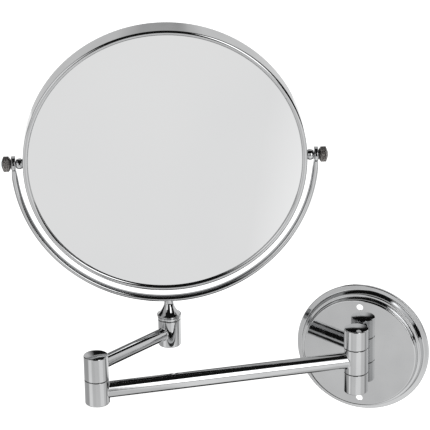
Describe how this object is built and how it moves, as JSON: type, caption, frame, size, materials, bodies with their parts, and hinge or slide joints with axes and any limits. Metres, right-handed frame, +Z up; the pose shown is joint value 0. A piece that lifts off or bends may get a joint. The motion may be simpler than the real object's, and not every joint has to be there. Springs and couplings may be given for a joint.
{
  "type": "extendable shaving mirror",
  "caption": "Round two-sided shaving mirror in a yoke on a two-part swing arm, folding flat against a round wall plate.",
  "frame": {"origin": "centre of the wall plate's back plane, on the wall", "axes": "+Z up, +X to the right along the wall as seen from the room, +Y into the wall; the mirror reaches out along -Y"},
  "size_m": [0.2955, 0.129, 0.3061],
  "materials": {
    "chrome": "polished chrome plate",
    "knob_metal": "dull knurled metal",
    "mirror_glass": "clear glass, silvered behind",
    "core_plastic": "moulded",
    "nylon": "dark nylon",
    "steel": "zinc plated",
    "brass": "machined"
  },
  "bodies": {
    "wall_mount": {"wall_plate": "chrome", "hinge_backing_plate": "steel", "hinge_upper_knuckle": "chrome", "hinge_lower_knuckle": "chrome", "hinge_fixing_washers": "steel", "hinge_fixing_screws": "steel", "wall_hinge_pin": "steel", "wall_hinge_disc_spring": "steel", "wall_hinge_washers": "nylon"},
    "long_arm": {"long_arm_wall_knuckle": "chrome", "long_arm_tube": "chrome", "long_arm_elbow_knuckle": "chrome"},
    "short_arm": {"short_arm_elbow_knuckle": "chrome", "short_arm_tube": "chrome", "short_arm_swivel_knuckle": "chrome", "elbow_pin": "steel", "elbow_disc_spring": "steel", "elbow_washer": "nylon"},
    "yoke_frame": {"swivel_pin": "steel", "swivel_disc_spring": "steel", "swivel_washer": "nylon", "swivel_collar": "chrome", "swivel_bell": "chrome", "yoke": "chrome"},
    "mirror_head": {"left_pivot_stud": "steel", "right_pivot_stud": "steel", "left_pivot_ball": "chrome", "right_pivot_ball": "chrome", "rim_band": "chrome", "front_bezel": "chrome", "rear_bezel": "chrome", "front_glass": "mirror_glass", "rear_glass": "mirror_glass", "pivot_blocks": "brass", "core_ring": "core_plastic"},
    "left_nut": {"left_knob": "knob_metal", "left_knob_washer": "steel"},
    "right_nut": {"right_knob": "knob_metal", "right_knob_washer": "steel"}
  },
  "joints": [
    {"name": "wall_hinge", "type": "hinge", "parent": "wall_mount", "child": "long_arm", "pos_m": [0, -0.0232, 0], "axis": [0, 0, 1], "range_deg": [-30, 150]},
    {"name": "elbow_hinge", "type": "hinge", "parent": "long_arm", "child": "short_arm", "pos_m": [-0.16784, -0.1201, 0], "axis": [0, 0, 1], "continuous": true},
    {"name": "yoke_swivel", "type": "hinge", "parent": "short_arm", "child": "yoke_frame", "pos_m": [-0.13455, -0.05, 0], "axis": [0, 0, 1], "continuous": true},
    {"name": "head_tilt", "type": "hinge", "parent": "yoke_frame", "child": "mirror_head", "pos_m": [-0.13455, -0.05, 0.1545], "axis": [0.9466, 0.3223, 0], "continuous": true},
    {"name": "left_nut_turn", "type": "hinge", "parent": "mirror_head", "child": "left_nut", "pos_m": [-0.13455, -0.05, 0.1545], "axis": [-0.9466, -0.3223, 0], "range_deg": [0, 270]},
    {"name": "right_nut_turn", "type": "hinge", "parent": "mirror_head", "child": "right_nut", "pos_m": [-0.13455, -0.05, 0.1545], "axis": [0.9466, 0.3223, 0], "range_deg": [0, 270]}
  ]
}
